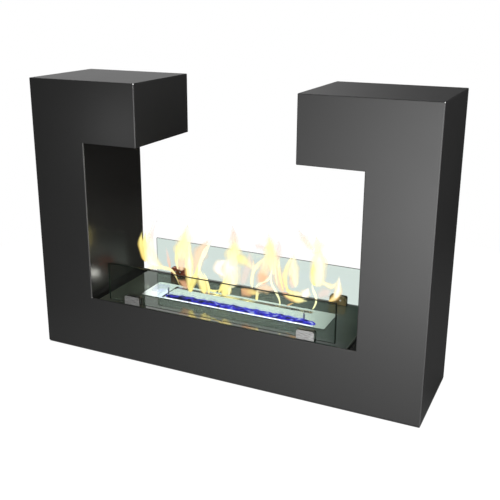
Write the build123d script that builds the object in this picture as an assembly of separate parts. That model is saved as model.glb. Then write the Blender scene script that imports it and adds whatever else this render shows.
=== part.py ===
from build123d import *
import os

os.makedirs("parts", exist_ok=True)

# A free-standing bioethanol fireplace. Millimetres, +Z up, front towards -Y.
# The origin is on the floor, under the middle of the frame.

# Frame
frame_width = 1000.0
frame_depth = 250.0
frame_height = 700.0
tower_width = 150.0        # outer side to inner wall
base_height = 150.0        # floor to the top of the deck
arm_height = 150.0
arm_length = 300.0         # outer side to the end of the arm
sheet = 2.0                # steel sheet of every panel
edge_radius = 1.8          # rounding of the frame's edges along Y
face_edge_radius = 1.6     # rounding round the front and rear faces
stiffener_height = 349.0   # height of the plate inside each tower
stiffener_hole_radius = 40.0

# Base plate and what holds it
pad_thickness = 2.0
pad_radius = 20.0
pad_inset_x = 45.0         # pad centre from the outer side
pad_inset_y = 35.0         # pad centre from the front or rear face
cleat_leg = 25.0           # leg of the small angles above the base plate
cleat_length = 40.0
cleat_to_pad = 55.0        # outer cleat's middle from the pad's centre
base_screw_radius = 2.5
base_screw_length = 10.0
base_screw_head_radius = 4.5
base_screw_head = 1.5
plate_gap = 0.5            # gap round a plate that is laid in

# Deck
deck_thickness = 6.0
channel_width = 22.0       # inner wall to the end of the deck plate
angle_leg = 25.0           # legs of the shelf angles and cross bearers
bearer_gap = 20.0          # burner cut-out to cross bearer
weld_gap = 0.3

# Burner insert
flange_length = 500.0
flange_width = 96.0
flange_sheet = 1.5
flange_overhang = 4.5      # flange beyond the tank at front and rear
flange_end_overhang = 8.0
tank_depth = 60.0
cutout_gap = 1.0           # tank to the cut-out in the deck
front_lip = 7.0            # flange in front of its opening
rear_lip = 10.0
opening_length = 385.0
mouth_length = 372.0
mouth_front_ledge = 3.0    # seat of the closed damper in front of the mouth
damper_overlap = 6.0       # closed damper behind the mouth
damper_width = 40.0
damper_sheet = 1.2
damper_running_gap = 0.3   # damper to the flange above it
damper_end_cover = 3.5     # damper ends under the flange
damper_open = 24.0         # opening of the flame slot as shown
pin_radius = 2.0
pin_height = 18.0
pin_rounding = 1.0
pin_inset_x = 9.0          # pin centre from the damper's end
pin_inset_y = 4.0          # pin centre from the damper's front edge
fibre_height = 40.0
fibre_gap = 0.5
cover_sheet = 1.0
cover_slot_length = 20.0
cover_slot_width = 3.0
cover_slot_pitch_x = 26.0
cover_slot_pitch_y = 9.0
cover_margin = 5.0         # unslotted edge of the cover

# Glass screens and their clamps
glass_end_gap = 50.0       # inner wall to the end of a screen
glass_height = 96.5
glass_thickness = 5.0
glass_edge_chamfer = 0.6
clamp_inset = 70.0         # clamp's middle from the end of its screen
clamp_setback = 3.5        # clamp's outer face behind the frame's face
clamp_width = 43.0
clamp_height = 22.0
clamp_corner = 5.0
clamp_outer_wall = 3.0
clamp_inner_wall = 6.0
clamp_floor = 1.3
liner = 1.0
liner_inset = 1.0
gasket = 1.2
grub_radius = 2.5
grub_socket = 2.5          # across the flats
grub_spacing = 14.0
grub_height = 11.8         # above the clamp's underside
fixing_radius = 2.0
fixing_depth = 8.8         # thread in the clamp
fixing_spacing = 28.0
fixing_head_radius = 4.0
fixing_head = 2.5
thread_gap = 0.05
hole_gap = 0.25
drive_radius = 1.6         # six-sided socket in the heads of both kinds of screw
drive_depth = 1.0

# Places worked out from the sizes above
half_width = frame_width / 2
window_x = half_width - tower_width
arm_end_x = half_width - arm_length
face_y = frame_depth / 2
inside_y = face_y - sheet
frame_foot = pad_thickness
pad_x = half_width - pad_inset_x
pad_y = face_y - pad_inset_y
outer_cleat_x = pad_x - cleat_to_pad
cleat_columns = (outer_cleat_x / 3, outer_cleat_x)
base_plate_top = frame_foot + sheet
arm_z = frame_height - arm_height
shelf_top = base_height - deck_thickness
shelf_bottom = shelf_top - sheet
deck_z = base_height
deck_x = window_x - channel_width
angle_inner_y = inside_y - angle_leg

tank_x = flange_length / 2 - flange_end_overhang
tank_y = flange_width / 2 - flange_overhang
tank_inner_x = tank_x - flange_sheet
tank_inner_y = tank_y - flange_sheet
cutout_x = tank_x + cutout_gap
cutout_y = tank_y + cutout_gap
tank_bottom = deck_z - tank_depth
opening_front = -flange_width / 2 + front_lip
opening_rear = flange_width / 2 - rear_lip
damper_top = deck_z - damper_running_gap
mouth_plate_top = damper_top - damper_sheet
mouth_plate_bottom = mouth_plate_top - flange_sheet
damper_x = opening_length / 2 + damper_end_cover
damper_front = opening_front + damper_open
mouth_front = opening_front + mouth_front_ledge
mouth_rear = opening_front + damper_width - damper_overlap
fibre_bottom = tank_bottom + flange_sheet
fibre_top = fibre_bottom + fibre_height

glass_x = window_x - glass_end_gap
clamp_x = glass_x - clamp_inset
clamp_face_y = face_y - clamp_setback
slot_outer_y = clamp_face_y - clamp_outer_wall
glass_outer_y = slot_outer_y - liner
glass_inner_y = glass_outer_y - glass_thickness
slot_inner_y = glass_inner_y - liner
clamp_back_y = slot_inner_y - clamp_inner_wall
fixing_y = (slot_inner_y + clamp_back_y) / 2
clamp_bottom = deck_z + gasket
slot_bottom = clamp_bottom + clamp_floor
glass_bottom = slot_bottom + liner

SIDES = {"left": -1, "right": 1}
FACES = {"front": -1, "rear": 1}


def save(name, shape):
    """Write one node as parts/NAME.step."""
    shape.label = name
    export_step(shape, f"parts/{name}.step")


def group(solids):
    """Put separate solids of the same kind into one node."""
    return Compound(children=list(solids))


def block(x, y, z):
    """A box between the two values given on each axis, in either order."""
    (x0, x1), (y0, y1), (z0, z1) = sorted(x), sorted(y), sorted(z)
    centre = Pos((x0 + x1) / 2, (y0 + y1) / 2, (z0 + z1) / 2)
    return centre * Box(x1 - x0, y1 - y0, z1 - z0)


def across(side, near, far):
    """The span from near to far on one side of the middle."""
    return (side * near, side * far)


def upright(x, y, z0, z1, radius):
    """A cylinder along Z at x, y."""
    return Pos(x, y, (z0 + z1) / 2) * Cylinder(radius, z1 - z0)


def drive_socket(x, y, z):
    """The six-sided hole in the underside of a screw head at height z."""
    return Pos(x, y, z) * extrude(RegularPolygon(drive_radius, 6), amount=drive_depth)


def round_corners(solid, corners):
    """Round the edges along Y that pass through the x, z points in corners."""
    def at_corner(edge):
        middle = edge.center()
        return any(abs(middle.X - x) < 0.01 and abs(middle.Z - z) < 0.01 for x, z in corners)
    edges = solid.edges().filter_by(Axis.Y).filter_by(at_corner)
    return fillet(edges, edge_radius)


def clamp_places():
    """Name, face and x of each of the four glass clamps."""
    for face_name, face in FACES.items():
        for side_name, side in SIDES.items():
            yield f"{face_name}_{side_name}", face, side * clamp_x


def face_panel():
    """The C-shaped front sheet, rounded all round its outer face."""
    concave = [(window_x, arm_z), (window_x, deck_z)]
    convex = [
        (half_width, frame_foot), (half_width, frame_height),
        (arm_end_x, frame_height), (arm_end_x, arm_z),
    ]
    half = convex + concave
    outline = half + [(-x, z) for x, z in reversed(half)]
    face = make_face(Plane.XZ.offset(inside_y) * Polyline(*outline, close=True))
    panel = extrude(face, amount=sheet, dir=(0, -1, 0))
    panel = round_corners(panel, convex + [(-x, z) for x, z in convex])
    outer_edges = panel.faces().sort_by(Axis.Y)[0].edges()
    return fillet(outer_edges, face_edge_radius)


def frame_panels():
    """The sheets between the front and rear panels, one set a side."""
    depth = (-inside_y, inside_y)
    under_top = frame_height - sheet
    for name, side in SIDES.items():
        side_panel = block(across(side, half_width - sheet, half_width), depth, (frame_foot, under_top))
        save(f"{name}_side_panel", round_corners(side_panel, [(side * half_width, frame_foot)]))
        top_panel = block(across(side, arm_end_x, half_width), depth, (under_top, frame_height))
        corners = [(side * half_width, frame_height), (side * arm_end_x, frame_height)]
        save(f"{name}_top_panel", round_corners(top_panel, corners))
        arm_end = block(across(side, arm_end_x, arm_end_x + sheet), depth, (arm_z, under_top))
        save(f"{name}_arm_end", round_corners(arm_end, [(side * arm_end_x, arm_z)]))
        underside = block(across(side, arm_end_x + sheet, window_x + sheet), depth, (arm_z, arm_z + sheet))
        save(f"{name}_arm_underside", underside)
        inner_wall = block(across(side, window_x, window_x + sheet), depth, (shelf_top, arm_z))
        save(f"{name}_inner_wall", inner_wall)
        stiffener = block(
            across(side, window_x + sheet, half_width - sheet), depth,
            (stiffener_height, stiffener_height + sheet),
        )
        hole = upright(
            side * (window_x + half_width) / 2, 0,
            stiffener_height, stiffener_height + sheet, stiffener_hole_radius,
        )
        save(f"{name}_tower_stiffener", stiffener - hole)


def cleat_places():
    """Side of the face and x of each small angle above the base plate."""
    return [(face, side * x) for face in FACES.values() for side in SIDES.values() for x in cleat_columns]


def base_parts():
    """Base plate, the cleats and screws that hold it, and the foot pads."""
    screw_y = inside_y - (cleat_leg + sheet) / 2
    cleat_top = base_plate_top + sheet
    plate_x = half_width - sheet - plate_gap
    plate_y = inside_y - plate_gap
    plate = block((-plate_x, plate_x), (-plate_y, plate_y), (frame_foot, base_plate_top))
    cleats, screws = [], []
    for face, x in cleat_places():
        along = (x - cleat_length / 2, x + cleat_length / 2)
        foot = block(along, across(face, inside_y - cleat_leg, inside_y), (base_plate_top, cleat_top))
        against = across(face, inside_y - sheet, inside_y)
        back = block(along, against, (cleat_top, base_plate_top + cleat_leg))
        y = face * screw_y
        cleats.append(foot + back - upright(x, y, base_plate_top, cleat_top, base_screw_radius))
        plate -= upright(x, y, frame_foot, base_plate_top, base_screw_radius + hole_gap)
        head = upright(x, y, frame_foot - base_screw_head, frame_foot, base_screw_head_radius)
        shank = upright(x, y, frame_foot, frame_foot + base_screw_length, base_screw_radius - thread_gap)
        screws.append(head + shank - drive_socket(x, y, frame_foot - base_screw_head))
    save("base_plate", plate)
    save("base_cleats", group(cleats))
    save("base_screws", group(screws))
    save("foot_pads", group(
        upright(side * pad_x, face * pad_y, 0, pad_thickness, pad_radius)
        for side in SIDES.values() for face in FACES.values()
    ))


def fixing_places():
    """x and y of the screws that hold the clamps down."""
    return [
        (x + step * fixing_spacing / 2, face * fixing_y)
        for _, face, x in clamp_places() for step in (-1, 1)
    ]


def drill_fixings(solid, z0, z1):
    """Drill clearance holes for the clamps' fixing screws from z0 to z1."""
    for x, y in fixing_places():
        solid -= upright(x, y, z0, z1, fixing_radius + hole_gap)
    return solid


def deck_parts():
    """Shelf plate with its angles and bearers, and the black glass deck plate."""
    burner_hole = block((-cutout_x, cutout_x), (-cutout_y, cutout_y), (shelf_bottom, deck_z))
    shelf_x = window_x + sheet
    shelf = block((-shelf_x, shelf_x), (-inside_y, inside_y), (shelf_bottom, shelf_top))
    save("shelf_plate", drill_fixings(shelf - burner_hole, shelf_bottom, shelf_top))
    deck_y = inside_y - plate_gap
    deck = block((-deck_x, deck_x), (-deck_y, deck_y), (shelf_top, deck_z))
    save("deck_plate", drill_fixings(deck - burner_hole, shelf_top, deck_z))
    leg_top = shelf_bottom - sheet
    for name, face in FACES.items():
        seat = block((-shelf_x, shelf_x), across(face, angle_inner_y, inside_y), (leg_top, shelf_bottom))
        leg = block(
            (-shelf_x, shelf_x), across(face, inside_y - sheet, inside_y),
            (shelf_bottom - angle_leg, leg_top),
        )
        save(f"{name}_shelf_angle", drill_fixings(seat + leg, leg_top, shelf_bottom))
    bearer_y = angle_inner_y - weld_gap
    bearer_x = cutout_x + bearer_gap
    for name, side in SIDES.items():
        seat = block(
            across(side, bearer_x, bearer_x + angle_leg), (-bearer_y, bearer_y), (leg_top, shelf_bottom))
        leg = block(
            across(side, bearer_x, bearer_x + sheet), (-bearer_y, bearer_y),
            (shelf_bottom - angle_leg, leg_top),
        )
        save(f"{name}_cross_bearer", seat + leg)


def burner_parts():
    """Stainless burner insert: flange, tank, mouth plate, fibre and its cover."""
    opening_x = opening_length / 2
    flange = block(
        (-flange_length / 2, flange_length / 2), (-flange_width / 2, flange_width / 2),
        (deck_z, deck_z + flange_sheet),
    )
    flange = fillet(flange.edges().filter_by(Axis.Z), edge_radius)
    opening = block((-opening_x, opening_x), (opening_front, opening_rear), (deck_z, deck_z + flange_sheet))
    save("burner_flange", flange - opening)

    tank = block((-tank_x, tank_x), (-tank_y, tank_y), (tank_bottom, deck_z))
    inside = block(
        (-tank_inner_x, tank_inner_x), (-tank_inner_y, tank_inner_y), (tank_bottom + flange_sheet, deck_z))
    save("burner_tank", tank - inside)

    mouth_plate = block(
        (-tank_inner_x, tank_inner_x), (-tank_inner_y, tank_inner_y),
        (mouth_plate_bottom, mouth_plate_top),
    )
    mouth = block(
        (-mouth_length / 2, mouth_length / 2), (mouth_front, mouth_rear),
        (mouth_plate_bottom, mouth_plate_top),
    )
    save("mouth_plate", mouth_plate - mouth)

    fibre_x, fibre_y = tank_inner_x - fibre_gap, tank_inner_y - fibre_gap
    save("fibre_block", block((-fibre_x, fibre_x), (-fibre_y, fibre_y), (fibre_bottom, fibre_top)))
    cover = block((-fibre_x, fibre_x), (-fibre_y, fibre_y), (fibre_top, fibre_top + cover_sheet))
    columns = int((2 * (fibre_x - cover_margin) - cover_slot_length) // cover_slot_pitch_x) + 1
    rows = int((2 * (fibre_y - cover_margin) - cover_slot_width) // cover_slot_pitch_y) + 1
    slot = Pos(0, 0, fibre_top) * extrude(
        SlotOverall(cover_slot_length, cover_slot_width), amount=cover_sheet)
    places = GridLocations(cover_slot_pitch_x, cover_slot_pitch_y, columns, rows)
    save("fibre_cover", cover - [place * slot for place in places])


def damper_parts():
    """The strip that slides over the flame slot, and its two pins."""
    strip = block(
        (-damper_x, damper_x), (damper_front, damper_front + damper_width), (mouth_plate_top, damper_top))
    save("damper_strip", strip)
    pins = []
    for side in SIDES.values():
        pin = upright(
            side * (damper_x - pin_inset_x), damper_front + pin_inset_y,
            damper_top, damper_top + pin_height, pin_radius,
        )
        pins.append(fillet(pin.edges().sort_by(Axis.Z)[-1], pin_rounding))
    save("damper_pins", group(pins))


def clamp_body(face, x):
    """A steel block with a slot for the glass and two rounded top corners."""
    along = (x - clamp_width / 2, x + clamp_width / 2)
    top = clamp_bottom + clamp_height
    body = block(along, across(face, clamp_back_y, clamp_face_y), (clamp_bottom, top))
    top_edges = body.edges().filter_by(Axis.Y).group_by(Axis.Z)[-1]
    body = fillet(top_edges, clamp_corner)
    body -= block(along, across(face, slot_inner_y, slot_outer_y), (slot_bottom, top))
    for step in (-1, 1):
        fixing_x = x + step * fixing_spacing / 2
        body -= upright(fixing_x, face * fixing_y, clamp_bottom, clamp_bottom + fixing_depth, fixing_radius)
        body -= grub_blank(face, x + step * grub_spacing / 2, clamp_back_y, grub_radius)
    return body


def grub_blank(face, x, start_y, radius):
    """A cylinder along Y through a clamp's inner wall, from start_y to the liner."""
    length = slot_inner_y - start_y
    centre = Pos(x, face * (start_y + slot_inner_y) / 2, clamp_bottom + grub_height)
    return centre * Rot(90, 0, 0) * Cylinder(radius, length)


def grub_screw(face, x):
    """A socket set screw that presses the liner on the glass."""
    start_y = clamp_back_y + thread_gap
    screw = grub_blank(face, x, start_y, grub_radius - thread_gap)
    socket = extrude(RegularPolygon(grub_socket / 2, 6, major_radius=False), amount=grub_socket)
    turned = Rot(-90 * face, 0, 0) * socket
    return screw - Pos(x, face * start_y, clamp_bottom + grub_height) * turned


def liner_strip(face, x):
    """The rubber channel between a clamp and its glass."""
    along = (x - clamp_width / 2 + liner_inset, x + clamp_width / 2 - liner_inset)
    top = clamp_bottom + clamp_height - liner_inset
    outer = block(along, across(face, slot_inner_y, slot_outer_y), (slot_bottom, top))
    return outer - block(along, across(face, glass_inner_y, glass_outer_y), (glass_bottom, top))


def gasket_pad(face, x):
    """The rubber pad under a clamp."""
    along = (x - clamp_width / 2, x + clamp_width / 2)
    pad = block(along, across(face, clamp_back_y, clamp_face_y), (deck_z, clamp_bottom))
    for step in (-1, 1):
        pad -= upright(
            x + step * fixing_spacing / 2, face * fixing_y, deck_z, clamp_bottom, fixing_radius + hole_gap)
    return pad


def fixing_screw(x, y):
    """A screw from under the shelf angle up into a clamp."""
    seat = shelf_bottom - sheet
    head = upright(x, y, seat - fixing_head, seat, fixing_head_radius)
    top = clamp_bottom + fixing_depth - thread_gap
    shank = upright(x, y, seat, top, fixing_radius - thread_gap)
    return head + shank - drive_socket(x, y, seat - fixing_head)


def glass_parts():
    """Glass screens with their clamps, liners, gaskets and screws."""
    for name, face in FACES.items():
        pane = block(
            (-glass_x, glass_x), across(face, glass_inner_y, glass_outer_y),
            (glass_bottom, glass_bottom + glass_height),
        )
        save(f"{name}_glass", chamfer(pane.edges(), glass_edge_chamfer))
    places = list(clamp_places())
    for name, face, x in places:
        save(f"{name}_clamp", clamp_body(face, x))
    save("clamp_liners", group(liner_strip(face, x) for _, face, x in places))
    save("clamp_gaskets", group(gasket_pad(face, x) for _, face, x in places))
    save("clamp_grub_screws", group(
        grub_screw(face, x + step * grub_spacing / 2) for _, face, x in places for step in (-1, 1)))
    save("clamp_fixing_screws", group(fixing_screw(x, y) for x, y in fixing_places()))


front_panel = face_panel()
save("front_panel", front_panel)
save("rear_panel", mirror(front_panel, about=Plane.XZ))
frame_panels()
base_parts()
deck_parts()
burner_parts()
damper_parts()
glass_parts()
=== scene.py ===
import math

import bpy
import numpy as np
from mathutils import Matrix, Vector


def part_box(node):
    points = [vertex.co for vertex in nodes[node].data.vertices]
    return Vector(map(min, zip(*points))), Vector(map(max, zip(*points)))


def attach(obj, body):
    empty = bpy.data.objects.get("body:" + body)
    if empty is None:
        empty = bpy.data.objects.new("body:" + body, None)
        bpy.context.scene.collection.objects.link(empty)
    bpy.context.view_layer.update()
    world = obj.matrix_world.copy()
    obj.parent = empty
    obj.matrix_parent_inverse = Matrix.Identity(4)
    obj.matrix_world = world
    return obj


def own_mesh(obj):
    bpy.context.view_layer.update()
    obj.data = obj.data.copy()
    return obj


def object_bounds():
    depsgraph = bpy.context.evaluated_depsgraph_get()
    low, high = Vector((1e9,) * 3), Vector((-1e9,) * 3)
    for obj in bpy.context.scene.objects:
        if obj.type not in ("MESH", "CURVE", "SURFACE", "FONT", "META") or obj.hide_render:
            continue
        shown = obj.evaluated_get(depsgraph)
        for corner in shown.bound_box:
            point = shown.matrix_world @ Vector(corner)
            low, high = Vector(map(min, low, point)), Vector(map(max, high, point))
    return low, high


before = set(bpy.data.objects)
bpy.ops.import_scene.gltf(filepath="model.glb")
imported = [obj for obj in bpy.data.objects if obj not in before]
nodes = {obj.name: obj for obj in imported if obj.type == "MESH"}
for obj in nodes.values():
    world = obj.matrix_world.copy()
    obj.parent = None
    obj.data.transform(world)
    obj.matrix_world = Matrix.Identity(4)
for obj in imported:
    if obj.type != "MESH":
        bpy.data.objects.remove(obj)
cad_low, cad_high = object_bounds()


# Shell of the fireplace: C-shaped front and rear sheets with side, top, arm and inner sheets between
# them. Folded and welded 2 mm steel, ground flush and powder-coated satin black, with a fine
# orange peel in the coat.
SHELL = ["front_panel", "rear_panel", "base_plate", "shelf_plate"]
for side in ("left", "right"):
    SHELL += [f"{side}_{piece}" for piece in (
        "side_panel", "top_panel", "arm_end", "arm_underside", "inner_wall", "tower_stiffener")]


class Recipe:
    """A material's node tree, with short calls to add a node and to join sockets."""

    def __init__(self, name, tree=None):
        if tree is None:
            self.material = bpy.data.materials.new(name)
            self.material.use_nodes = True
            tree = self.material.node_tree
            tree.nodes.clear()
        self.tree = tree

    def add(self, kind, inputs=None, **settings):
        """A node of that kind. An input is a plain value or another node's output."""
        node = self.tree.nodes.new(kind)
        for key, value in settings.items():
            setattr(node, key, value)
        for key, value in (inputs or {}).items():
            if isinstance(value, bpy.types.NodeSocket):
                self.tree.links.new(value, node.inputs[key])
            else:
                node.inputs[key].default_value = value
        return node

    def shader(self, **inputs):
        """The material's Principled BSDF, with sockets named by their words joined by _."""
        named = {key.replace("_", " "): value for key, value in inputs.items()}
        return self.add("ShaderNodeBsdfPrincipled", named)

    def output(self, surface):
        self.add("ShaderNodeOutputMaterial", {"Surface": surface})
        return self.material

    def place(self, scale=(1, 1, 1), turn=(0, 0, 0)):
        """Object coordinates, stretched by scale and turned."""
        coordinates = self.add("ShaderNodeTexCoord").outputs["Object"]
        return self.add("ShaderNodeMapping", {
            "Vector": coordinates, "Scale": scale, "Rotation": turn}).outputs["Vector"]

    def noise(self, vector, scale, detail=2.0):
        return self.add("ShaderNodeTexNoise", {
            "Vector": vector, "Scale": scale, "Detail": detail}).outputs["Fac"]

    def map(self, value, low, high, to_low, to_high):
        return self.add("ShaderNodeMapRange", {
            "Value": value, "From Min": low, "From Max": high,
            "To Min": to_low, "To Max": to_high}).outputs["Result"]

    def math(self, operation, *values, clamp=False):
        """The result of a Math node on plain numbers or other nodes' outputs."""
        return self.add(
            "ShaderNodeMath", dict(enumerate(values)), operation=operation, use_clamp=clamp).outputs[0]

    def mix(self, factor, one, two, kind="RGBA", **settings):
        """Two colours, or two numbers where kind is FLOAT, mixed by factor."""
        return self.add("ShaderNodeMix", {
            "Factor": factor, "A": one, "B": two}, data_type=kind, **settings).outputs["Result"]

    def parts(self, vector):
        """The X, Y and Z outputs of a vector."""
        return self.add("ShaderNodeSeparateXYZ", {"Vector": vector}).outputs

    def send(self, outs, **values):
        """Join values to a group's outputs by name."""
        for socket, value in values.items():
            self.tree.links.new(value, outs.inputs[socket])

    def group(self, tree, **inputs):
        node = self.add("ShaderNodeGroup", node_tree=tree)
        for key, value in inputs.items():
            node.inputs[key.replace("_", " ")].default_value = value
        return node


def effect_group(name, inputs, outputs):
    """An empty node group with float inputs and typed outputs, and its two end nodes."""
    tree = bpy.data.node_groups.new(name, "ShaderNodeTree")
    for socket, value in inputs.items():
        made = tree.interface.new_socket(socket, in_out="INPUT", socket_type="NodeSocketFloat")
        made.default_value = value
    for socket, kind in outputs.items():
        tree.interface.new_socket(socket, in_out="OUTPUT", socket_type=kind)
    return Recipe(name, tree), tree.nodes.new("NodeGroupInput"), tree.nodes.new("NodeGroupOutput")


def orange_peel_group():
    """The small smooth lumps of a baked coat, slow drifts in its gloss, and its rounding over the
    edges of the sheet, with masks for a painted highlight on the upright edges that face right and
    front and for a painted glint at their top corners."""
    recipe, ins, outs = effect_group(
        "orange_peel",
        {"Size": 0.0015, "Height": 0.00002, "Gloss": 0.4, "Drift": 0.05, "Rounding": 0.0022},
        {"Roughness": "NodeSocketFloat", "Normal": "NodeSocketVector", "Edge": "NodeSocketFloat",
         "Corner": "NodeSocketFloat"})
    place = recipe.place()
    lumps = recipe.noise(place, recipe.math("DIVIDE", 1.0, ins.outputs["Size"]), 1.0)
    rounded = recipe.add("ShaderNodeBevel", {"Radius": ins.outputs["Rounding"]}, samples=6)
    bump = recipe.add("ShaderNodeBump", {
        "Height": lumps, "Distance": ins.outputs["Height"], "Strength": 1.0,
        "Normal": rounded.outputs["Normal"]})
    split = recipe.parts(rounded.outputs["Normal"])
    right, front, up = (
        recipe.map(split[axis], low, high, 0.0, 1.0)
        for axis, low, high in (("X", 0.12, 0.40), ("Y", -0.12, -0.40), ("Z", 0.04, 0.20)))
    edge = recipe.math("MULTIPLY", right, front)
    drift = recipe.math("SUBTRACT", recipe.noise(place, 5.0, 3.0), 0.5)
    gloss = recipe.math("MULTIPLY_ADD", drift, ins.outputs["Drift"], ins.outputs["Gloss"])
    recipe.send(
        outs, Roughness=gloss, Normal=bump.outputs["Normal"], Edge=edge,
        Corner=recipe.math("MULTIPLY", edge, up))
    return recipe.tree


orange_peel = orange_peel_group()


def powder_coat(name, gloss, lightest, tint=(1, 1, 1)):
    """Satin black coat whose grey drifts a little over the sheet, with a painted highlight that lightens
    the upright edges facing right and front, and a painted glint at their top corners."""
    recipe = Recipe(name)
    peel = recipe.group(orange_peel, Size=0.0016, Height=0.000012, Gloss=gloss, Drift=0.06)
    cloud = recipe.noise(recipe.place(), 3.0, 4.0)
    colour = recipe.mix(
        cloud, (0.85 * lightest, 0.85 * lightest, 0.84 * lightest, 1),
        (lightest, lightest, 0.97 * lightest, 1))
    # Painted highlight and painted glint: the colour is mixed lighter on those edges and corners.
    for factor, painted_light in (("Edge", 0.04), ("Corner", 0.90)):
        colour = recipe.mix(peel.outputs[factor], colour, (painted_light, painted_light, painted_light, 1))
    shader = recipe.shader(
        Base_Color=colour, Roughness=peel.outputs["Roughness"], Normal=peel.outputs["Normal"],
        Specular_IOR_Level=0.5, Specular_Tint=(*tint, 1))
    return recipe.output(shader.outputs["BSDF"])


def finish_nodes(names, material):
    """Give CAD nodes their finished material."""
    for name in names:
        for material_slot in nodes[name].material_slots:
            material_slot.material = material


finish_nodes(SHELL, powder_coat("satin_black_coat", 0.54, 0.0063))
finish_nodes(
    ["left_inner_wall", "right_inner_wall"],
    powder_coat("smooth_black_coat", 0.21, 0.0100, (1.0, 1.0, 0.84)))
# The shelf plate's coat is darker and reflects only half as much, as painted shade in the channels at the
# deck's ends.
finish_nodes(["shelf_plate"], powder_coat("painted_shade_black_coat", 0.08, 0.0040, (0.5, 0.5, 0.5)))


# What holds the base plate and the deck: small angles, shelf angles and bearers of zinc-plated steel,
# with zinc-plated screws. The plating shows its faint crystal clouds. The feet are black rubber discs
# stuck under the base plate.
def zinc():
    """Bright zinc with faint crystal clouds and fine scratches."""
    recipe = Recipe("zinc_plated_steel")
    place = recipe.place()
    spangle = recipe.add("ShaderNodeTexVoronoi", {"Vector": place, "Scale": 140.0}, feature="F1")
    grey = recipe.map(spangle.outputs["Color"], 0.0, 1.0, 0.42, 0.56)
    colour = recipe.add("ShaderNodeCombineColor", {"Red": grey, "Green": grey, "Blue": grey})
    scratches = recipe.noise(recipe.place((60, 900, 900)), 1.0, 3.0)
    bump = recipe.add("ShaderNodeBump", {"Height": scratches, "Distance": 0.00001, "Strength": 0.6})
    shader = recipe.shader(
        Base_Color=colour.outputs["Color"], Metallic=1.0,
        Roughness=recipe.map(spangle.outputs["Distance"], 0.0, 0.6, 0.3, 0.5),
        Normal=bump.outputs["Normal"])
    return recipe.output(shader.outputs["BSDF"])


def rubber():
    """Matt black rubber with a fine grain and a faint bloom."""
    recipe = Recipe("black_rubber")
    place = recipe.place()
    grain = recipe.noise(place, 2500.0, 2.0)
    bloom = recipe.noise(place, 90.0, 3.0)
    bump = recipe.add("ShaderNodeBump", {"Height": grain, "Distance": 0.00004, "Strength": 0.7})
    shader = recipe.shader(
        Base_Color=recipe.mix(bloom, (0.010, 0.010, 0.010, 1), (0.022, 0.022, 0.021, 1)),
        Roughness=recipe.map(bloom, 0, 1, 0.6, 0.8), Normal=bump.outputs["Normal"],
        Specular_IOR_Level=0.3)
    return recipe.output(shader.outputs["BSDF"])


zinc_steel = zinc()
black_rubber = rubber()
finish_nodes([
    "base_cleats", "base_screws", "front_shelf_angle", "rear_shelf_angle", "left_cross_bearer",
    "right_cross_bearer", "clamp_grub_screws", "clamp_fixing_screws"], zinc_steel)
finish_nodes(["foot_pads", "clamp_liners", "clamp_gaskets"], black_rubber)


# Deck: one sheet of 6 mm black glass on the shelf plate, cut out for the burner, with polished edges.
# It mirrors the window and the flames, and carries a thin film of wiped dust.
deck_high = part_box("deck_plate")[1]


def deck_glass():
    """Black glass under wiped dust, with painted light that lightens it towards the left, where the tower
    shades the deck, and its two ends ground grey.
    """
    recipe = Recipe("black_deck_glass")
    wipes = recipe.noise(recipe.place((6, 30, 6), (0, 0, 0.3)), 1.5, 5.0)
    specks = recipe.noise(recipe.place(), 700.0, 2.0)
    overlay_mask = recipe.map(specks, 0.62, 0.75, 0.0, 0.01)
    haze = recipe.map(wipes, 0.35, 0.75, 0.015, 0.06)
    across = recipe.parts(recipe.place())["X"]
    colour = recipe.mix(wipes, (0.030, 0.046, 0.038, 1), (0.048, 0.072, 0.060, 1))
    # Painted light: the colour is mixed towards a lighter grey towards the left end, where the tower shades
    # the deck.
    colour = recipe.mix(
        recipe.map(across, -0.33, -0.08, 0.85, 0.0), colour, (0.088, 0.096, 0.076, 1))
    to_end = recipe.map(
        recipe.math("ABSOLUTE", across), deck_high.x - 0.0018, deck_high.x - 0.0012, 0.0, 1.0)
    shader = recipe.shader(
        Base_Color=recipe.mix(to_end, colour, (0.11, 0.13, 0.11, 1)),
        Roughness=recipe.math("ADD", haze, overlay_mask), Specular_IOR_Level=0.35)
    return recipe.output(shader.outputs["BSDF"])


finish_nodes(["deck_plate"], deck_glass())


# Burner insert: stainless flange, tank, mouth plate and perforated cover, brushed along the length,
# with the sliding damper strip and its two pins. The ceramic fibre block lies in the tank.
def brushed_group():
    """Long fine scratches along X, from noise stretched along that axis."""
    recipe, ins, outs = effect_group(
        "brushed", {"Fineness": 900.0, "Height": 0.000008, "Gloss": 0.25, "Spread": 0.12},
        {"Lines": "NodeSocketFloat", "Roughness": "NodeSocketFloat", "Normal": "NodeSocketVector"})
    lines = recipe.noise(recipe.place((0.012, 1, 1)), ins.outputs["Fineness"], 4.0)
    bump = recipe.add("ShaderNodeBump", {
        "Height": lines, "Distance": ins.outputs["Height"], "Strength": 1.0})
    rough = recipe.math("MULTIPLY_ADD", lines, ins.outputs["Spread"], ins.outputs["Gloss"])
    recipe.send(outs, Lines=lines, Roughness=rough, Normal=bump.outputs["Normal"])
    return recipe.tree


brushed = brushed_group()


def stainless(name, light, dark, gloss):
    """Brushed stainless steel between two greys."""
    recipe = Recipe(name)
    brush = recipe.group(brushed, Fineness=900.0, Height=0.000008, Gloss=gloss, Spread=0.14)
    shader = recipe.shader(
        Base_Color=recipe.mix(brush.outputs["Lines"], (*dark, 1), (*light, 1)), Metallic=1.0,
        Roughness=brush.outputs["Roughness"], Normal=brush.outputs["Normal"])
    return recipe.output(shader.outputs["BSDF"])


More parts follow.
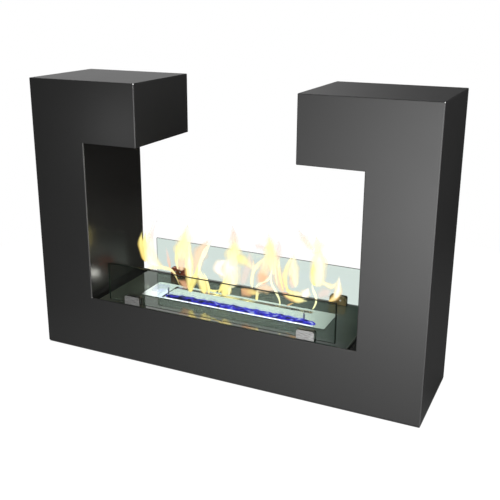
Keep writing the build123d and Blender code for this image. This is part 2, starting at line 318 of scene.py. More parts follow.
def fibre():
    """White ceramic wool, soft and matted."""
    recipe = Recipe("ceramic_wool")
    mat = recipe.noise(recipe.place((1, 1, 2)), 300.0, 6.0)
    bump = recipe.add("ShaderNodeBump", {"Height": mat, "Distance": 0.0008, "Strength": 1.0})
    shader = recipe.shader(
        Base_Color=recipe.mix(mat, (0.55, 0.54, 0.50, 1), (0.85, 0.84, 0.80, 1)), Roughness=0.95,
        Normal=bump.outputs["Normal"])
    return recipe.output(shader.outputs["BSDF"])


burner_steel = stainless("burner_steel", (0.98, 0.99, 0.97), (0.90, 0.92, 0.90), 0.10)
finish_nodes([
    "burner_flange", "burner_tank", "mouth_plate", "fibre_cover", "damper_strip"], burner_steel)
finish_nodes(["damper_pins"], stainless("pin_steel", (0.34, 0.35, 0.40), (0.22, 0.23, 0.27), 0.25))
finish_nodes(["fibre_block"], fibre())


# Screens: two panes of 5 mm clear glass with ground and polished edges, which look dark green where
# the light runs along the pane.
pane_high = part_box("front_glass")[1]


def screen_glass():
    """Clear pane with painted shade on its ground edges, fainter on the rear pane, and a band of painted
    shade about 2 mm wide along the front pane's sides and top.
    """
    recipe = Recipe("clear_screen_glass")
    facing = recipe.parts(recipe.add("ShaderNodeNewGeometry").outputs["Normal"])
    edge = recipe.map(recipe.math("ABSOLUTE", facing["Y"]), 0.95, 0.995, 1.0, 0.0)
    place = recipe.parts(recipe.place())
    across = recipe.math("ABSOLUTE", place["X"])
    edge = recipe.math("MULTIPLY", edge, recipe.map(place["Y"], -0.01, 0.01, 1.0, 0.45))
    front = recipe.map(place["Y"], -0.01, 0.01, 1.0, 0.0)
    # Painted shade: a band along the front pane's sides and top, for the dark look of its edges.
    for value, start in ((across, pane_high.x - 0.0024), (place["Z"], pane_high.z - 0.0014)):
        band = recipe.map(value, start, start + 0.0003, 0.0, 1.0)
        edge = recipe.math("MAXIMUM", edge, recipe.math("MULTIPLY", band, front))
    pane = recipe.shader(
        Base_Color=recipe.mix(front, (0.65, 0.745, 0.70, 1), (0.70, 0.765, 0.725, 1)),
        Roughness=0.0, IOR=1.5, Transmission_Weight=1.0, Specular_Tint=(0.22, 0.22, 0.22, 1))
    ground = recipe.shader(Base_Color=(0.003, 0.006, 0.004, 1), Roughness=0.45, Specular_IOR_Level=0.08)
    glass = recipe.add("ShaderNodeMixShader", {0: edge, 1: pane.outputs[0], 2: ground.outputs[0]})
    clear = recipe.add("ShaderNodeBsdfTransparent", {"Color": (0.85, 0.92, 0.89, 1)})
    shadow = recipe.add("ShaderNodeLightPath").outputs["Is Shadow Ray"]
    mixed = recipe.add("ShaderNodeMixShader", {0: shadow, 1: glass.outputs[0], 2: clear.outputs[0]})
    return recipe.output(mixed.outputs[0])


finish_nodes(["front_glass", "rear_glass"], screen_glass())


# Clamps: milled stainless blocks that pinch the panes between rubber liners, on rubber pads, each
# held from below by two screws.
def milled_clamp():
    """Milled stainless with slanting cutter marks, and painted shade on the faces that look neither to the
    front nor the rear: its top, ends and bottom.
    """
    recipe = Recipe("milled_clamp_steel")
    marks = recipe.noise(recipe.place((0.12, 1, 1), (0, 0.7, 0)), 700.0, 3.0)
    facing = recipe.parts(recipe.add("ShaderNodeNewGeometry").outputs["Normal"])
    # Painted shade: the faces that don't look front or rear are mixed towards near black.
    overlay_mask = recipe.map(recipe.math("ABSOLUTE", facing["Y"]), 0.5, 0.9, 1.0, 0.0)
    colour = recipe.mix(
        recipe.map(marks, 0.35, 0.65, 0.0, 1.0), (0.22, 0.22, 0.215, 1), (0.50, 0.50, 0.49, 1))
    bump = recipe.add("ShaderNodeBump", {"Height": marks, "Distance": 0.00001, "Strength": 1.0})
    shader = recipe.shader(
        Base_Color=recipe.mix(overlay_mask, colour, (0.05, 0.045, 0.035, 1)), Metallic=1.0,
        Normal=bump.outputs["Normal"], Roughness=recipe.map(marks, 0.3, 0.7, 0.46, 0.38))
    return recipe.output(shader.outputs["BSDF"])


def heat_tint_and_flame_glow():
    """Stainless near the fire: straw and brown heat colours in slow patches, redder at the left, which also
    paint in the warm glow of the flames on it.
    """
    recipe = Recipe("heat_tint_and_flame_glow_steel")
    place = recipe.place()
    patches = recipe.noise(place, 55.0, 3.0)
    # Partly painted light: the redder left and the warm colours also stand for the flames' glow on the
    # clamps.
    side = recipe.map(recipe.parts(place)["X"], -0.25, 0.25, 0.35, -0.1)
    colour = recipe.add("ShaderNodeValToRGB", {"Fac": recipe.math("ADD", patches, side)})
    ramp = colour.color_ramp
    ramp.elements[0].position, ramp.elements[0].color = 0.35, (0.29, 0.23, 0.12, 1)
    ramp.elements[1].position, ramp.elements[1].color = 0.85, (0.60, 0.17, 0.12, 1)
    ramp.elements.new(0.55).color = (0.27, 0.17, 0.08, 1)
    shader = recipe.shader(
        Base_Color=colour.outputs["Color"], Metallic=1.0,
        Roughness=recipe.map(patches, 0, 1, 0.22, 0.42))
    return recipe.output(shader.outputs["BSDF"])


finish_nodes(["front_left_clamp", "front_right_clamp"], milled_clamp())
finish_nodes(["rear_left_clamp", "rear_right_clamp"], heat_tint_and_flame_glow())


# Blue base of the fire: a low film of burning vapour in the flame slot, which the draught pulls out
# over the right end of the flange. It isn't a solid piece: a thin closed skin with a rippled top
# stands for it, with a paler line of flame along its front.
flange_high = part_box("burner_flange")[1]
SLOT_FRONT = -0.0405
SLOT_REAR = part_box("damper_strip")[0].y
SLOT_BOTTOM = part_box("mouth_plate")[0].z


def tube_faces(rows, around):
    """Faces of a closed skin, as quads between rings of points and a fan of triangles to a pole at
    each end. The rings' points come first, ring by ring, and then the two poles."""
    ring, step = np.meshgrid(np.arange(rows - 1), np.arange(around), indexing="ij")
    after = (step + 1) % around
    quads = np.stack([
        ring * around + step, ring * around + after,
        (ring + 1) * around + after, (ring + 1) * around + step], axis=-1).reshape(-1, 4)
    one, last = np.arange(around), (rows - 1) * around
    two = (one + 1) % around
    low_fan = np.stack([two, one, np.full(around, rows * around)], axis=-1)
    high_fan = np.stack([last + one, last + two, np.full(around, rows * around + 1)], axis=-1)
    return quads, np.vstack([low_fan, high_fan])


def skin_piece(name, skins, material):
    """One object from closed skins, each given as points, tints (a colour and a density at each
    point), rises (0 at its root to 1 at its tip) and its quads and fans."""
    points, tints, rises, faces, count = [], [], [], [], 0
    for skin_points, skin_tints, skin_rises, (quads, fans) in skins:
        faces += (quads + count).tolist() + (fans + count).tolist()
        count += len(skin_points)
        points.append(skin_points)
        tints.append(skin_tints)
        rises.append(skin_rises)
    mesh = bpy.data.meshes.new(name)
    mesh.from_pydata(np.vstack(points).tolist(), [], faces)
    mesh.polygons.foreach_set("use_smooth", np.ones(len(mesh.polygons), bool))
    tint = mesh.color_attributes.new("tint", "FLOAT_COLOR", "POINT")
    tint.data.foreach_set("color", np.vstack(tints).astype(np.float32).ravel())
    rise = mesh.attributes.new("rise", "FLOAT", "POINT")
    rise.data.foreach_set("value", np.concatenate(rises).astype(np.float32))
    mesh.materials.append(material)
    made = bpy.data.objects.new(name, mesh)
    bpy.context.scene.collection.objects.link(made)
    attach(made, "burner")
    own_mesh(made)


def slot_film(ends, front, rear, bottom, top, ripples, tint):
    """A long flat skin that lies along X. Its section is an ellipse between front and rear, and its
    top is lifted and dropped by a sum of sines in x."""
    rows, around = 161, 24
    along = np.linspace(*ends, rows)[:, None]
    turn = np.linspace(0, 2 * np.pi, around, endpoint=False)[None, :]
    share = np.linspace(-1, 1, rows)[:, None]
    bow = np.sqrt(np.clip(1 - share**8, 0.03, 1))
    wave = 1 + ripples * (np.sin(210 * along) + 0.8 * np.sin(97 * along + 1) + 0.6 * np.sin(389 * along))
    middle_y, middle_z = (rear + front) / 2, (top + bottom) / 2
    y = middle_y + (rear - front) / 2 * np.cos(turn) * bow
    lift = np.sin(turn) * bow * (top - bottom) / 2
    z = middle_z + lift * np.where(lift > 0, wave, 1)
    points = np.stack(np.broadcast_arrays(along, y, z), axis=-1).reshape(-1, 3)
    points = np.vstack([points, [[end, middle_y, middle_z] for end in ends]])
    return points, np.tile(tint, (len(points), 1)), np.full(len(points), 0.5), tube_faces(rows, around)


def blue_film():
    """Burning vapour: deep blue with darker hollows and pale flecks, darker towards the left."""
    recipe = Recipe("blue_vapour_flame")
    patches = recipe.noise(recipe.place((1, 2.2, 2.2)), 62.0, 3.0)
    weak = recipe.map(recipe.parts(recipe.place())["X"], -0.19, 0.02, -0.10, 0.0)
    colour = recipe.add("ShaderNodeValToRGB", {"Fac": recipe.math("ADD", patches, weak)})
    ramp = colour.color_ramp
    ramp.elements[0].position, ramp.elements[0].color = 0.34, (0.010, 0.014, 0.055, 1)
    ramp.elements[1].position, ramp.elements[1].color = 0.66, (0.52, 0.58, 1.0, 1)
    for position, blue in ((0.42, (0.030, 0.030, 0.30, 1)), (0.47, (0.048, 0.038, 0.72, 1)),
                           (0.57, (0.060, 0.060, 0.90, 1))):
        ramp.elements.new(position).color = blue
    shader = recipe.shader(
        Base_Color=(0.0, 0.0, 0.0, 1), Roughness=1.0, Specular_IOR_Level=0.0,
        Emission_Color=colour.outputs["Color"], Emission_Strength=1.0)
    recipe.material.cycles.emission_sampling = "NONE"
    return recipe.output(shader.outputs["BSDF"])


def burning_gas():
    """Flame: the tint's colour, redder and thinner where the skin turns away, thin at the root and
    the tip, and streaked along its height. It is brighter in mirrors, which show how far its light is
    above the picture's white."""
    recipe = Recipe("burning_gas")
    tint = recipe.add("ShaderNodeAttribute", attribute_name="tint")
    rise = recipe.add("ShaderNodeAttribute", attribute_name="rise").outputs["Fac"]
    turned = recipe.add("ShaderNodeLayerWeight", {"Blend": 0.5}).outputs["Facing"]
    streaks = recipe.add("ShaderNodeTexNoise", {
        "Vector": recipe.place((1, 1, 0.28)), "Scale": 120.0, "Detail": 3.0,
        "Distortion": 0.8}).outputs["Fac"]
    threads = recipe.noise(recipe.place((1, 1, 0.22), (0, 0.25, 0)), 420.0, 2.0)
    body = recipe.map(turned, 0.0, 0.95, 1.0, 0.0)
    for fade in (recipe.map(rise, 0.0, 0.10, 0.15, 1.0), recipe.map(rise, 0.60, 1.0, 1.0, 0.1)):
        body = recipe.math("MULTIPLY", body, fade)
    rough = recipe.math(
        "ADD", recipe.map(streaks, 0.25, 0.75, -0.32, 0.32), recipe.map(threads, 0.25, 0.75, -0.12, 0.12))
    thick = recipe.add("ShaderNodeMapRange", {
        "Value": recipe.math("ADD", rough, body), "From Min": 0.02, "From Max": 0.90},
        interpolation_type="SMOOTHSTEP")
    alpha = recipe.math("MULTIPLY", thick.outputs["Result"], tint.outputs["Alpha"])
    cooler = recipe.math(
        "ADD", recipe.map(turned, 0.30, 0.90, 0.0, 0.8), recipe.map(streaks, 0.34, 0.50, 0.7, 0.0),
        clamp=True)
    red = recipe.mix(cooler, (1, 1, 1, 1), (1.0, 0.88, 0.64, 1))
    colour = recipe.mix(1.0, tint.outputs["Color"], red, blend_type="MULTIPLY")
    mirrored = recipe.mix(1.0, colour, (2.9, 2.9, 2.9, 1), blend_type="MULTIPLY")
    in_mirror = recipe.map(
        recipe.add("ShaderNodeLightPath").outputs["Glossy Depth"], 0, 1, 0, 1)
    shader = recipe.shader(
        Base_Color=(0.0, 0.0, 0.0, 1), Roughness=1.0, Specular_IOR_Level=0.0, Alpha=alpha,
        Emission_Color=recipe.mix(in_mirror, colour, mirrored), Emission_Strength=1.0)
    recipe.material.cycles.emission_sampling = "NONE"
    return recipe.output(shader.outputs["BSDF"])


burning = burning_gas()
skin_piece("flame_blue_film", [slot_film(
    (-0.185, 0.222), SLOT_FRONT - 0.0015, SLOT_REAR, SLOT_BOTTOM, flange_high.z + 0.006, 0.22,
    (1, 1, 1, 1))],
    blue_film())
skin_piece("flame_pale_edge", [slot_film(
    (-0.182, 0.220), SLOT_FRONT - 0.0028, SLOT_FRONT - 0.0006, flange_high.z,
    flange_high.z + 0.0015, 0.1, (1.10, 1.12, 1.40, 1.0))], burning)
skin_piece("flame_lilac_haze", [
    slot_film((-0.234, -0.196), -0.030, 0.020, flange_high.z + 0.0002, flange_high.z + 0.014, 0.3,
              (0.66, 0.70, 1.10, 0.30)),
    slot_film((-0.186, 0.200), -0.036, -0.016, flange_high.z + 0.0002, flange_high.z + 0.010, 0.5,
              (0.42, 0.44, 1.20, 0.12))], burning)


# Flames: tongues of yellow gas that rise from the slot and lean and curl to both sides. They aren't
# solid pieces either. Each is a closed skin round a curved line: wide ones for the gas, white where
# it is hottest and rose where it is thin, and narrow ones for the bright edges between them.
GASES = {
    "white": (1.32, 1.32, 1.24, 0.88),
    "lilac": (1.18, 1.15, 1.22, 0.84),
    "cream": (1.28, 1.24, 0.90, 0.80),
    "pale": (1.12, 1.10, 0.84, 0.34),
    "yellow": (1.20, 1.15, 0.44, 0.72),
    "amber": (1.14, 0.84, 0.26, 0.68),
    "peach": (1.12, 0.86, 0.62, 0.50),
    "ember": (1.12, 0.60, 0.38, 0.50),
    "blush": (1.08, 0.84, 0.76, 0.20),
    "hot_cream": (1.80, 1.68, 0.95, 0.88),
    "hot_amber": (1.74, 1.44, 0.56, 0.88),
}
# For each flame its tongues: the gas at the root and at the tip, how many millimetres behind the
# others the tongue stands, and the places that its middle line passes. Each place was set one by one
# over the photograph and is given as it was set: across, down and width, in pixels.
FLAMES = {
    "left": [
        ("cream", "pale", 0, [
            (171, 269.8, 2.4), (159.5, 265.5, 7), (150.5, 254, 15),
            (148.5, 240, 15.5), (154, 221, 9)]),
        ("white", "white", -3, [(160, 266, 6), (151.5, 260, 11), (150.5, 248, 10), (151, 236, 7)]),
        ("amber", "yellow", -2, [
            (145.6, 262, 2.6), (142.2, 252, 6.4),
            (140.9, 241, 7.4), (142.8, 229.5, 4.2)]),
        ("yellow", "yellow", -4, [(148, 262, 3), (145.6, 252, 5.5), (144.6, 241, 6.5), (146, 230, 4)]),
        ("blush", "blush", -8, [(151, 258, 3), (149.5, 247, 8), (151.5, 235, 9), (158, 218, 8)]),
        ("cream", "amber", -8, [
            (146, 266.6, 3), (159, 267.6, 4.4), (171.5, 270.4, 3.6),
            (178, 280, 2.4), (184, 286, 2)]),
        ("ember", "ember", 3, [(189, 288, 5), (184, 283.5, 9), (177, 279, 6)]),
    ],
    "streak": [
        ("ember", "blush", 2, [(170.2, 269, 2.8), (168.3, 258, 4.2), (165.3, 245, 2.8)]),
    ],
    "left_tall": [
        ("cream", "yellow", 4, [(182.5, 262, 7), (182.3, 252, 16), (183.2, 242, 17), (185.6, 230, 9)]),
        ("pale", "pale", 6, [(184, 258, 10), (184.5, 244, 18), (186, 232, 13), (190, 220, 6)]),
        ("cream", "yellow", -2, [(178.3, 270, 2.8), (176.4, 258, 4.4), (177, 244, 6)]),
        ("peach", "peach", -4, [(182, 271, 8), (181.5, 261, 9.5), (183, 250, 5)]),
        ("hot_amber", "cream", 0, [
            (191.7, 291, 4), (190, 280, 8), (188.8, 264, 10),
            (189, 248, 9), (191.5, 232, 4)]),
        ("cream", "white", -5, [(191, 281, 3), (190, 272, 5.4), (189.3, 260, 6.4), (189, 248, 4)]),
    ],
    "curl": [
        ("peach", "peach", 4, [
            (198.5, 277, 7), (197.2, 264, 13.5), (199.5, 253, 17),
            (205, 244.5, 12), (211, 235, 5)]),
        ("cream", "cream", -2, [
            (197.7, 277, 3), (199.5, 265, 4.4), (203.5, 254, 5.2),
            (208.8, 245, 5.2), (213.5, 236, 2.4)]),
        ("hot_amber", "yellow", -6, [(192, 292, 4.5), (192.4, 285, 7.4), (196, 274, 7), (197.5, 262, 3)]),
        ("hot_amber", "hot_cream", -3, [
            (204.5, 293.5, 5.4), (204, 287, 11),
            (202, 279, 11), (199.5, 266, 5)]),
        ("hot_amber", "hot_cream", -6, [
            (209, 294, 2.4), (208.9, 287, 3.4),
            (206.5, 279, 3.4), (202, 270, 2)]),
        ("hot_amber", "hot_amber", -5, [(209.5, 289.2, 2), (214.5, 290.8, 3.2), (220.5, 289, 2.4)]),
    ],
    "bulb": [
        ("cream", "white", 0, [(233, 288, 14), (231.5, 276, 20), (229.5, 266, 25), (232, 255, 16)]),
        ("lilac", "white", -3, [
            (224, 275.5, 4), (218.6, 270.2, 9.5),
            (220.2, 264, 12.5), (228, 259.5, 10)]),
        ("cream", "white", -9, [(232.5, 288, 8), (231, 277, 13), (229, 266, 13)]),
        ("hot_amber", "hot_cream", -6, [(223.5, 296, 6), (226, 289, 12), (229, 280, 12), (231, 267, 8)]),
        ("hot_amber", "yellow", -9, [(218.8, 293, 2.8), (222, 287, 4), (225.8, 280, 4), (228, 272, 3)]),
        ("hot_cream", "cream", -10, [(229.5, 295, 2.4), (230, 289, 3.6), (231.5, 281, 4.2), (233, 270, 3)]),
    ],
    "middle_tall": [
        ("cream", "yellow", 3, [(235.5, 267, 11), (233.8, 256, 17.5), (234.2, 247, 15), (234, 239, 11)]),
        ("pale", "blush", 4, [(235, 252, 10), (234.2, 242, 12), (233.6, 234, 9.5), (232, 222.5, 4)]),
        ("blush", "blush", 0, [(236, 244, 5), (233.8, 235.5, 8), (232, 224, 5)]),
        ("yellow", "pale", 4, [(235.5, 256, 8), (243, 260, 12.5), (249.3, 265.5, 9), (253.6, 272, 3.4)]),
        ("blush", "blush", 6, [
            (242.5, 286, 9), (245.5, 275, 13), (248.7, 265.5, 12),
            (249.4, 256.5, 10), (247, 248.5, 5)]),
        ("cream", "peach", 0, [(252.4, 276, 2.2), (253.4, 266, 3.2), (252.6, 256, 2.4)]),
    ],
    "low_root": [
        ("ember", "ember", 0, [(241.5, 289.5, 8), (247, 293, 10), (253, 297, 7)]),
        ("ember", "hot_amber", -2, [
            (240.5, 288.5, 4), (248.5, 291.2, 7.4),
            (255.4, 292.6, 7.4), (260.5, 293.6, 4)]),
        ("hot_amber", "cream", -6, [(257.2, 300.5, 2.4), (257.3, 294.3, 4.2), (258.2, 287.5, 3)]),
    ],
    "cup": [
        ("cream", "cream", -2, [
            (252.5, 288.5, 2.8), (252.3, 277, 4.4), (255.8, 267.3, 5.4),
            (262, 260.6, 6.8), (267, 252, 3.6)]),
        ("peach", "cream", 0, [(262.5, 279, 9), (264.5, 269, 14), (265.7, 260, 11), (268, 251, 5)]),
        ("ember", "peach", -4, [(263.5, 285, 9), (262.6, 276.5, 17), (263.5, 268, 10)]),
        ("ember", "ember", -7, [(263.3, 282, 5), (262.5, 276.6, 10), (263, 270.5, 5)]),
        ("cream", "cream", -8, [
            (254.5, 289.5, 2.6), (262, 282.9, 3.8), (269, 278.3, 3.6),
            (272, 269, 3.2), (272.7, 256.5, 2.6)]),
        ("peach", "peach", 2, [(256, 291.5, 5), (266, 288.4, 11.5), (278, 291, 6.5)]),
    ],
    "right_tall": [
        ("cream", "yellow", 3, [
            (274, 276, 9), (272.6, 263.5, 13), (270.7, 253, 15.5),
            (269.9, 244.5, 12), (268.5, 237, 6)]),
        ("pale", "pale", 6, [(271, 250, 10), (269.8, 242, 12), (268, 232, 4)]),
        ("blush", "blush", 6, [(276, 261, 6), (278.8, 250, 10), (277.8, 237.5, 6)]),
        ("blush", "blush", 7, [(266.5, 250, 5), (259.5, 246.8, 8.5), (253, 244.5, 5)]),
        ("hot_cream", "cream", -9, [
            (279.9, 306, 1.9), (278.3, 296, 2.7), (273.6, 287.5, 3.2),
            (270.9, 280, 3.2), (273, 269, 3.2)]),
        ("peach", "peach", 3, [(283.5, 294, 8), (279.8, 281, 14), (277.7, 270, 12.5), (277.2, 259, 7)]),
        ("yellow", "cream", -4, [
            (283.8, 292, 2.4), (280.4, 279, 3.2),
            (278.9, 267, 4.8), (279.7, 257, 2.8)]),
        ("cream", "cream", -5, [(277.5, 286, 2), (275.8, 276, 2.4), (276, 266, 2.4)]),
    ],
    "hook": [
        ("yellow", "cream", -4, [
            (291.5, 293.5, 3.2), (285.8, 284.5, 4.2), (285.4, 273, 6.2),
            (288.8, 262.5, 6.2), (295, 251, 3.6)]),
        ("cream", "cream", 0, [
            (295.7, 288, 6.2), (294, 274.5, 11.4),
            (293.2, 263.5, 12), (295.2, 250, 5.4)]),
        ("blush", "peach", -5, [(293.3, 289, 5), (291.2, 280.5, 7), (291, 271.5, 4)]),
        ("yellow", "cream", -6, [(285, 289.6, 2.6), (295, 293.5, 6.4), (304.5, 293.8, 7.4)]),
        ("white", "white", -3, [(303, 298.5, 5), (306.2, 293, 9.6), (310, 287, 4)]),
        ("hot_amber", "hot_cream", -2, [
            (284.5, 294.6, 3), (293.5, 298, 6.5),
            (301, 300, 8), (308.5, 301, 5.5)]),
        ("ember", "ember", 1, [(282, 292.5, 3), (291, 298, 6.5), (299.5, 303, 5)]),
        ("ember", "amber", -4, [(286.5, 305.8, 1.6), (291, 303.7, 2.2), (295.8, 302.4, 1.6)]),
    ],
    "end_tall": [
        ("cream", "cream", 0, [
            (317.7, 288, 9.6), (318.4, 274.5, 18), (318.3, 262, 17),
            (318.3, 252, 13), (317, 243, 7)]),
        ("pale", "pale", 4, [(318, 256, 10), (317.5, 246, 13), (315.5, 234, 6)]),
        ("yellow", "yellow", -3, [(314.5, 286.5, 4.6), (313.3, 273, 7), (314, 260, 7)]),
        ("white", "white", -5, [(319.5, 284, 5), (320, 272, 9), (319.4, 260, 8.6), (318.5, 249, 5)]),
        ("hot_cream", "cream", -6, [
            (311.8, 310, 2.1), (316.3, 299.5, 2.9),
            (313.2, 290, 3.8), (313.5, 278, 4.4)]),
    ],
    "end_arch": [
        ("cream", "cream", -2, [(318, 279, 4.2), (327, 285, 5.6), (334, 285.6, 6.4), (339.4, 275.5, 3.8)]),
        ("amber", "white", 0, [(328, 301, 2.8), (335.8, 296.3, 8), (338.7, 287, 9), (339.5, 275.5, 3.6)]),
        ("white", "white", -3, [(335, 298, 4.8), (338.2, 290, 6.6), (339.3, 279.5, 3.6)]),
        ("blush", "blush", 3, [(318, 297.5, 7), (325.5, 292.5, 13), (333, 291, 7)]),
    ],
    "puff": [
        ("pale", "blush", 0, [(313.6, 250.5, 5), (306.7, 242.7, 9), (301.6, 236, 9), (296.8, 225, 5)]),
    ],
}
# The photograph's camera, solved from eighteen corners of the frame. The flames' places are found
# along its rays, and the picture is taken with it at the end.
AZIMUTH, ELEVATION = math.radians(25.97), math.radians(16.95)
CAMERA = np.array((0.778888, -1.602668, 0.896608))
SENSOR, LENS, SHIFT_X, SHIFT_Y = 36.0, 55.17, 0.02883, -0.04716
PICTURE = 500
LOOKING = np.array((
    -math.sin(AZIMUTH) * math.cos(ELEVATION), math.cos(AZIMUTH) * math.cos(ELEVATION),
    -math.sin(ELEVATION)))
RIGHT = np.array((math.cos(AZIMUTH), math.sin(AZIMUTH), 0.0))
UPWARD = np.cross(RIGHT, LOOKING)
# The sheet that the fire stands in, which leans to the rear as it rises.
ROOT_Y, LEAN, ROOT_Z = -0.028, 0.10, 0.150
# A tongue that stays thinner than this many pixels is drawn narrower, because blur widens it there.
THIN, THIN_SHARE = 5.0, 0.8


def seen_places(pixels, behind):
    """Places as x, z and width in metres. The camera's ray through each pixel is cut with the sheet
    of the fire, moved back by behind, and a pixel's width there grows with its depth."""
    across, down, width = np.array(pixels, float).T
    rays = (LOOKING + np.outer((across / PICTURE - 0.5 + SHIFT_X) * SENSOR / LENS, RIGHT)
            + np.outer((0.5 - down / PICTURE + SHIFT_Y) * SENSOR / LENS, UPWARD))
    sheet_y = ROOT_Y + behind + LEAN * (CAMERA[2] - ROOT_Z)
    depth = (sheet_y - CAMERA[1]) / (rays[:, 1] - LEAN * rays[:, 2])
    places = CAMERA + depth[:, None] * rays
    width = width * (THIN_SHARE if width.max() < THIN else 1.0) * depth * SENSOR / LENS / PICTURE
    return np.stack([places[:, 0], places[:, 2], width], axis=1)


# A wide tongue is three skins in each other: how wide, how dense and how reddened each is.
SHELLS = ((1.05, 0.30, 0.55), (0.74, 0.50, 0.12), (0.45, 0.85, 0.0))
# A tongue that is nowhere wider than NARROW is one plain skin.
NARROW, PLAIN = 0.0135, (1.0, 1.0, 0.0)


def tongue(root, tip, behind, places, reach, share, redness):
    """A closed skin round the lowest polynomial that passes through the places, which also gives the
    width. Its section is an ellipse four fifths as deep as wide, square to that line, with small
    waves round and up it. The width closes like a semicircle at the root and like a leaf at the tip."""
    rows, around = 44, 20
    t = np.linspace(0.004, 0.996, rows)
    order = len(places) - 1
    factors = np.polyfit(np.linspace(0, 1, order + 1), places, order)
    x, z, width = (np.vander(t, order + 1) @ factors).T
    closing = np.sqrt(1 - (2 * t - 1) ** 6) * np.minimum(1, 2 * (1 - t)) ** 0.6
    width = reach * np.maximum(width, 0.001) * closing
    run, climb = np.gradient(x), np.gradient(z)
    length = np.hypot(run, climb)
    turn = np.linspace(0, 2 * np.pi, around, endpoint=False)[None, :]
    t, x, z, width, run, climb = (
        row[:, None] for row in (t, x, z, width, run / length, climb / length))
    phase = 40 * places[0, 0]
    waves = 1 + 0.11 * np.sin(3 * turn + 9 * t + phase) + 0.08 * np.sin(2 * turn - 14 * t + phase)
    across = width / 2 * waves * np.cos(turn)
    middle_y = ROOT_Y + LEAN * (z - ROOT_Z) + behind
    y = middle_y + (0.4 * width + 0.0004) * waves * np.sin(turn)
    points = np.stack(np.broadcast_arrays(x + across * climb, y, z - across * run), axis=-1)
    ends = np.stack([x[[0, -1], 0], middle_y[[0, -1], 0], z[[0, -1], 0]], axis=-1)
    points = np.vstack([points.reshape(-1, 3), ends])
    rises = np.append(np.repeat(t[:, 0], around), (0.0, 1.0))
    tints = (1 - rises[:, None]) * np.array(GASES[root]) + rises[:, None] * np.array(GASES[tip])
    tints *= (1, 1 - 0.22 * redness, 1 - 0.55 * redness, share)
    return points, tints, rises, tube_faces(rows, around)


for name, tongues in FLAMES.items():
    skins = []
    for root, tip, behind, pixels in tongues:
        behind = behind / 1000
        places = seen_places(pixels, behind)
        shells = SHELLS if places[:, 2].max() > NARROW else [PLAIN]
        skins += [tongue(root, tip, behind, places, *shell) for shell in shells]
    skin_piece(f"flame_{name}", skins, burning)


# Plain studio: a pale round floor, a white backdrop and soft lamps, with the camera at the
# photograph's angle.
FLOOR_RADIUS, FLOOR_POINTS = 1.25, 96
MARGIN = 0.002


def pale_floor():
    """White to the camera, and dimmer to mirrors and to the light it sends on. It is dark under the
    frame, whose pads leave a gap that no light gets into."""
    recipe = Recipe("pale_floor")
    path = recipe.add("ShaderNodeLightPath").outputs
    place = recipe.place()
    split = recipe.parts(place)
    far = recipe.add("ShaderNodeVectorMath", {0: place}, operation="LENGTH").outputs["Value"]
    lit = recipe.mix(path["Is Diffuse Ray"], 0.16, 0.80, "FLOAT")
    shade = recipe.add("ShaderNodeCombineColor", {"Red": lit, "Green": lit, "Blue": lit})
    pale = recipe.add("ShaderNodeBsdfDiffuse", {"Color": shade.outputs["Color"]})
    mirrored = recipe.math("MULTIPLY", path["Glossy Depth"], recipe.map(far, 0.45, 0.72, 0.0, 1.0))
    through = recipe.math("SUBTRACT", path["Is Transmission Ray"], mirrored, clamp=True)
    seen = recipe.math("MAXIMUM", path["Is Camera Ray"], through)
    outside = [
        recipe.map(recipe.math("ABSOLUTE", split[axis]), limit - MARGIN, limit, 0.0, 0.95)
        for axis, limit in (("X", cad_high.x), ("Y", cad_high.y))]
    white = recipe.math("MULTIPLY", seen, recipe.math("MAXIMUM", *outside))
    dim = recipe.math(
        "MULTIPLY", recipe.map(split["Y"], -0.15, 0.05, 0.36, 0.0), recipe.map(far, 0.42, 0.90, 1.0, 0.0))
    dim = recipe.math("MULTIPLY", dim, path["Is Glossy Ray"])
    glow = recipe.add("ShaderNodeEmission", {
        "Color": (1, 1, 1, 1), "Strength": recipe.math("MAXIMUM", white, dim)})
    both = recipe.add("ShaderNodeAddShader", {0: pale.outputs[0], 1: glow.outputs[0]})
    return recipe.output(both.outputs[0])


turn = np.linspace(0, 2 * np.pi, FLOOR_POINTS, endpoint=False)
ring = FLOOR_RADIUS * np.stack([np.cos(turn), np.sin(turn), np.zeros(FLOOR_POINTS)], axis=1)
floor_mesh = bpy.data.meshes.new("floor")
floor_mesh.from_pydata(ring.tolist(), [], [list(range(FLOOR_POINTS))])
floor_mesh.materials.append(pale_floor())
floor = bpy.data.objects.new("floor", floor_mesh)
bpy.context.scene.collection.objects.link(floor)


def studio_world():
    """White wherever the camera sees it. Mirrors see it bright to the left and right, dim between and
    in front, and black below the horizon, and a little soft light comes from all of it."""
    world = bpy.data.worlds.new("studio")
    world.use_nodes = True
    world.node_tree.nodes.clear()
    recipe = Recipe("studio", world.node_tree)
    direction = recipe.parts(recipe.add("ShaderNodeTexCoord").outputs["Generated"])
    path = recipe.add("ShaderNodeLightPath").outputs
    sides = recipe.math(
        "MAXIMUM", recipe.map(direction["X"], -0.33, -0.26, 1.5, 0.12),
        recipe.map(direction["X"], 0.35, 0.60, 0.0, 0.9))
    reflected = recipe.math(
        "MULTIPLY", recipe.map(direction["Z"], 0.0, 0.30, 0.0, 1.0),
        recipe.map(direction["Y"], -0.15, 0.15, 0.15, 1.0))
    reflected = recipe.math("MULTIPLY", reflected, sides)
    through = recipe.math("SUBTRACT", path["Is Transmission Ray"], path["Glossy Depth"], clamp=True)
    seen = recipe.math("MAXIMUM", path["Is Camera Ray"], through)
    ambient = recipe.mix(path["Is Diffuse Ray"], reflected, 0.15, "FLOAT")
    background = recipe.add("ShaderNodeBackground", {
        "Color": (1, 1, 1, 1), "Strength": recipe.mix(seen, ambient, 1.0, "FLOAT")})
    recipe.add("ShaderNodeOutputWorld", {"Surface": background.outputs[0]})
    return world


bpy.context.scene.world = studio_world()


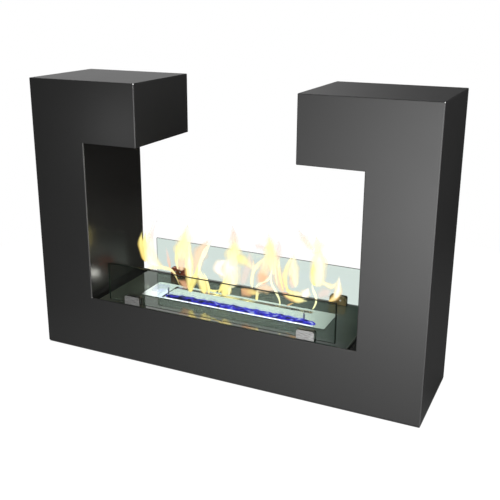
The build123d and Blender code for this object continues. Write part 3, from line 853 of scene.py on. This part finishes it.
def softbox(name, place, aim, size, power):
    """A rectangular white area lamp at place that looks at aim, and that no camera sees."""
    lamp = bpy.data.lights.new(name, "AREA")
    lamp.shape = "RECTANGLE"
    lamp.size, lamp.size_y = size
    lamp.energy = power
    made = bpy.data.objects.new(name, lamp)
    made.location = place
    made.rotation_euler = (Vector(aim) - Vector(place)).to_track_quat("-Z", "Y").to_euler()
    made.visible_camera = made.visible_transmission = False
    bpy.context.scene.collection.objects.link(made)


softbox("key", (1.03, -2.38, 0.36), (0.0, 0, 0.35), (0.8, 0.7), 63)
softbox("fill", (0.4, -1.7, 0.10), (0.1, 0, 0.35), (0.6, 0.5), 20)
softbox("front", (0.2, -2.4, 0.35), (0.0, 0, 0.35), (0.8, 0.7), 3)
softbox("right", (2.4, -0.2, 1.2), (0, 0, 0.35), (1.0, 1.0), 27)
softbox("top", (-0.6, 0.3, 2.4), (0, 0, 0.35), (1.2, 1.0), 13)
softbox("left_arm", (-0.35, -0.33, 0.56), (-0.20, -0.125, 0.60), (0.10, 0.10), 0.10)
softbox("bounce", (-0.258, 0.0105, 0.157), (-0.414, -0.0935, 0.227), (0.020, 0.020), 0.016)
fire_light = bpy.data.lights.new("fire_light", "POINT")
fire_light.energy, fire_light.shadow_soft_size, fire_light.color = 1.2, 0.06, (1.0, 0.62, 0.28)
fire = bpy.data.objects.new("fire_light", fire_light)
fire.location = (0.0, -0.01, 0.25)
fire.visible_camera = fire.visible_glossy = fire.visible_transmission = False
bpy.context.scene.collection.objects.link(fire)

camera_data = bpy.data.cameras.new("camera")
camera_data.sensor_width = SENSOR
camera_data.lens = LENS
camera_data.shift_x, camera_data.shift_y = SHIFT_X, SHIFT_Y
camera = bpy.data.objects.new("camera", camera_data)
camera.location = CAMERA
camera.rotation_euler = Vector(LOOKING).to_track_quat("-Z", "Y").to_euler()
bpy.context.scene.collection.objects.link(camera)
bpy.context.scene.camera = camera
bpy.context.scene.view_settings.view_transform = "Standard"
bpy.context.scene.cycles.transparent_max_bounces = 96
